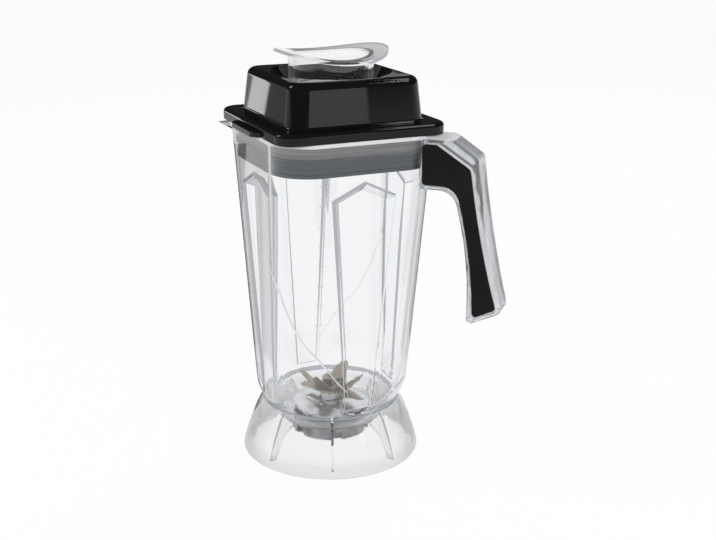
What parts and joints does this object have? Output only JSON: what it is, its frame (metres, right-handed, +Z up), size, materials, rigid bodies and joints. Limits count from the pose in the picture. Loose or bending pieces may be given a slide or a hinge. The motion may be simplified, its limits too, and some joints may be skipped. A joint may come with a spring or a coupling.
{
  "type": "blender jar",
  "caption": "Clear square blender jar with flutes, flared skirt, spout and inlaid handle, a black sealed lid with a measuring cup, and a bladed rotor in its floor.",
  "frame": {"origin": "on the jar's axis, in the plane that the skirt stands on", "axes": "+Z up along the blade shaft, +X towards the handle, spout towards -X"},
  "size_m": [0.2453, 0.1856, 0.3379],
  "materials": {
    "clear_plastic": "clear moulded polycarbonate, glossy",
    "lid_black": "moulded, glossy",
    "inlay_black": "satin, fine grain",
    "seal_grey": "silicone rubber, satin",
    "blade_steel": "stamped and ground stainless steel",
    "housing_steel": "turned steel",
    "nut_grey": "moulded, satin",
    "bearing_steel": "ground bearing steel",
    "gasket_black": "rubber"
  },
  "bodies": {
    "jar": {"jar_body": "clear_plastic", "handle_inlay_left": "inlay_black", "handle_inlay_right": "inlay_black", "lid": "lid_black", "lid_seal": "seal_grey", "measuring_cup": "clear_plastic", "housing_gasket": "gasket_black", "bearing_housing": "housing_steel", "nut_washer": "gasket_black", "retaining_nut": "nut_grey", "shaft_seal": "gasket_black", "upper_bearing_outer_ring": "bearing_steel", "upper_bearing_balls": "bearing_steel", "lower_bearing_outer_ring": "bearing_steel", "lower_bearing_balls": "bearing_steel", "outer_spacer": "housing_steel", "housing_circlip": "bearing_steel"},
    "blade_rotor": {"blade_shaft": "housing_steel", "upper_bearing_inner_ring": "bearing_steel", "lower_bearing_inner_ring": "bearing_steel", "inner_spacer": "housing_steel", "shaft_circlip": "bearing_steel", "lower_blade": "blade_steel", "middle_blade": "blade_steel", "upper_blade": "blade_steel", "blade_washer": "housing_steel", "cap_nut": "blade_steel"}
  },
  "joints": [
    {"name": "blade_spin", "type": "hinge", "parent": "jar", "child": "blade_rotor", "pos_m": [0, 0, 0.044], "axis": [0, 0, 1], "continuous": true}
  ]
}
